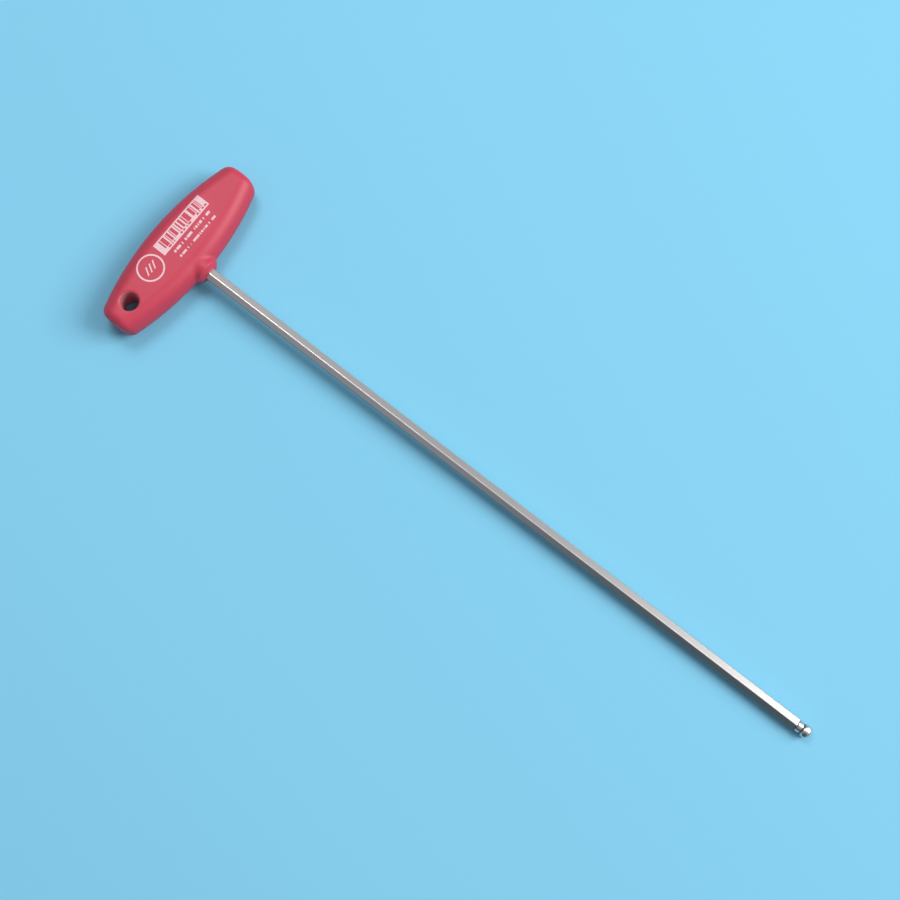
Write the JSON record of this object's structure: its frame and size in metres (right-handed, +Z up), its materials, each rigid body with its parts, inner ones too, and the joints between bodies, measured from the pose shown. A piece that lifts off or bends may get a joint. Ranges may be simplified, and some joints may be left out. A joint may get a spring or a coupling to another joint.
{
  "type": "cross-handle hex key",
  "caption": "Long hexagonal key with a ball-shaped drive end, moulded square into a rounded cross handle that has a hanging hole.",
  "frame": {"origin": "middle of the footprint, on the surface that the key lies on", "axes": "+X from the handle towards the ball end, +Y along the handle away from its hanging hole, +Z up from the surface"},
  "size_m": [0.3852, 0.095, 0.0172],
  "materials": {
    "handle_plastic": "red moulded plastic with a satin skin and pale pad printing on its upper face",
    "blade_steel": "drawn hexagonal steel bar, satin nickel plated, with a turned ball end"
  },
  "bodies": {
    "root": {"handle": "handle_plastic", "blade": "blade_steel"}
  },
  "joints": []
}
